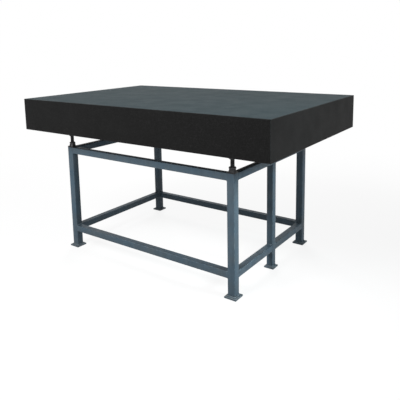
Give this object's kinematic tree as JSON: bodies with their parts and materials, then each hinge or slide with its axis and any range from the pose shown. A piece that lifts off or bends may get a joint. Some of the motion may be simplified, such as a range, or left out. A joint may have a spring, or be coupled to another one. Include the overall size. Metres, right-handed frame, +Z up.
{
  "type": "granite surface plate with stand",
  "caption": "Black granite surface plate lying on screw jacks with swivel pads, on a welded square-tube stand with legs, two levels of rails and square foot plates.",
  "frame": {"origin": "on the floor, under the middle of the granite plate", "axes": "+X along the plate's long side, towards the side of the stand with the extra leg; +Y to the rear; +Z up"},
  "size_m": [1.6, 1, 0.88],
  "materials": {
    "granite": "lapped, with a dull sheen",
    "frame_paint": "blue-grey enamel, semi-gloss",
    "black_steel": "blackened and lightly oiled"
  },
  "bodies": {
    "stand": {"leg_front_left": "frame_paint", "leg_rear_left": "frame_paint", "leg_front_right": "frame_paint", "leg_rear_right": "frame_paint", "leg_right_middle": "frame_paint", "foot_plate_front_left": "frame_paint", "foot_plate_rear_left": "frame_paint", "foot_plate_front_right": "frame_paint", "foot_plate_rear_right": "frame_paint", "foot_plate_right_middle": "frame_paint", "top_rail_front": "frame_paint", "top_rail_rear": "frame_paint", "top_rail_left": "frame_paint", "top_rail_right_front": "frame_paint", "top_rail_right_rear": "frame_paint", "lower_rail_front": "frame_paint", "lower_rail_rear": "frame_paint", "lower_rail_left": "frame_paint", "lower_rail_right_front": "frame_paint", "lower_rail_right_rear": "frame_paint", "leg_cap_front_left": "black_steel", "leg_cap_rear_left": "black_steel", "leg_cap_front_right": "black_steel", "leg_cap_rear_right": "black_steel", "leg_cap_right_middle": "black_steel"},
    "plate": {"granite_plate": "granite", "swivel_pad_front_left": "black_steel", "swivel_pad_rear_left": "black_steel", "swivel_pad_right_middle": "black_steel"},
    "main_screw_front_left": {"jack_screw_front_left": "black_steel"},
    "main_screw_rear_left": {"jack_screw_rear_left": "black_steel"},
    "main_screw_right_middle": {"jack_screw_right_middle": "black_steel"},
    "auxiliary_pad_front_right": {"swivel_pad_front_right": "black_steel"},
    "auxiliary_pad_rear_right": {"swivel_pad_rear_right": "black_steel"},
    "auxiliary_screw_front_right": {"jack_screw_front_right": "black_steel"},
    "auxiliary_screw_rear_right": {"jack_screw_rear_right": "black_steel"},
    "nut_front_left": {"lock_nut_front_left": "black_steel"},
    "nut_rear_left": {"lock_nut_rear_left": "black_steel"},
    "nut_front_right": {"lock_nut_front_right": "black_steel"},
    "nut_rear_right": {"lock_nut_rear_right": "black_steel"},
    "nut_right_middle": {"lock_nut_right_middle": "black_steel"}
  },
  "joints": [
    {"name": "plate_levelling", "type": "slide", "parent": "stand", "child": "plate", "axis": [0, 0, 1], "range_m": [0, 0.015]},
    {"name": "main_screw_front_left_turn", "type": "hinge", "parent": "plate", "child": "main_screw_front_left", "pos_m": [-0.545, -0.375, 0.6], "axis": [0, 0, 1], "range_deg": [0, 2161]},
    {"name": "main_screw_rear_left_turn", "type": "hinge", "parent": "plate", "child": "main_screw_rear_left", "pos_m": [-0.545, 0.375, 0.6], "axis": [0, 0, 1], "range_deg": [0, 2161]},
    {"name": "main_screw_right_middle_turn", "type": "hinge", "parent": "plate", "child": "main_screw_right_middle", "pos_m": [0.5475, 0, 0.6], "axis": [0, 0, 1], "range_deg": [0, 2161]},
    {"name": "auxiliary_pad_front_right_lowering", "type": "slide", "parent": "stand", "child": "auxiliary_pad_front_right", "axis": [0, 0, 1], "range_m": [-0.015, 0]},
    {"name": "auxiliary_screw_front_right_turn", "type": "hinge", "parent": "auxiliary_pad_front_right", "child": "auxiliary_screw_front_right", "pos_m": [0.545, -0.375, 0.6], "axis": [0, 0, 1], "range_deg": [-2161, 0]},
    {"name": "auxiliary_pad_rear_right_lowering", "type": "slide", "parent": "stand", "child": "auxiliary_pad_rear_right", "axis": [0, 0, 1], "range_m": [-0.015, 0]},
    {"name": "auxiliary_screw_rear_right_turn", "type": "hinge", "parent": "auxiliary_pad_rear_right", "child": "auxiliary_screw_rear_right", "pos_m": [0.545, 0.375, 0.6], "axis": [0, 0, 1], "range_deg": [-2161, 0]},
    {"name": "nut_front_left_turn", "type": "hinge", "parent": "stand", "child": "nut_front_left", "pos_m": [-0.545, -0.375, 0.6236], "axis": [0, 0, 1], "range_deg": [0, 180]},
    {"name": "nut_rear_left_turn", "type": "hinge", "parent": "stand", "child": "nut_rear_left", "pos_m": [-0.545, 0.375, 0.6236], "axis": [0, 0, 1], "range_deg": [0, 180]},
    {"name": "nut_front_right_turn", "type": "hinge", "parent": "stand", "child": "nut_front_right", "pos_m": [0.545, -0.375, 0.6236], "axis": [0, 0, 1], "range_deg": [0, 180]},
    {"name": "nut_rear_right_turn", "type": "hinge", "parent": "stand", "child": "nut_rear_right", "pos_m": [0.545, 0.375, 0.6236], "axis": [0, 0, 1], "range_deg": [0, 180]},
    {"name": "nut_right_middle_turn", "type": "hinge", "parent": "stand", "child": "nut_right_middle", "pos_m": [0.5475, 0, 0.6236], "axis": [0, 0, 1], "range_deg": [0, 180]}
  ],
  "couplings": [
    {"joint": "main_screw_front_left_turn", "follows": "plate_levelling", "rad_per_m": 2513.3},
    {"joint": "main_screw_rear_left_turn", "follows": "plate_levelling", "rad_per_m": 2513.3},
    {"joint": "main_screw_right_middle_turn", "follows": "plate_levelling", "rad_per_m": 2513.3},
    {"joint": "auxiliary_screw_front_right_turn", "follows": "auxiliary_pad_front_right_lowering", "rad_per_m": 2513.3},
    {"joint": "auxiliary_screw_rear_right_turn", "follows": "auxiliary_pad_rear_right_lowering", "rad_per_m": 2513.3}
  ]
}
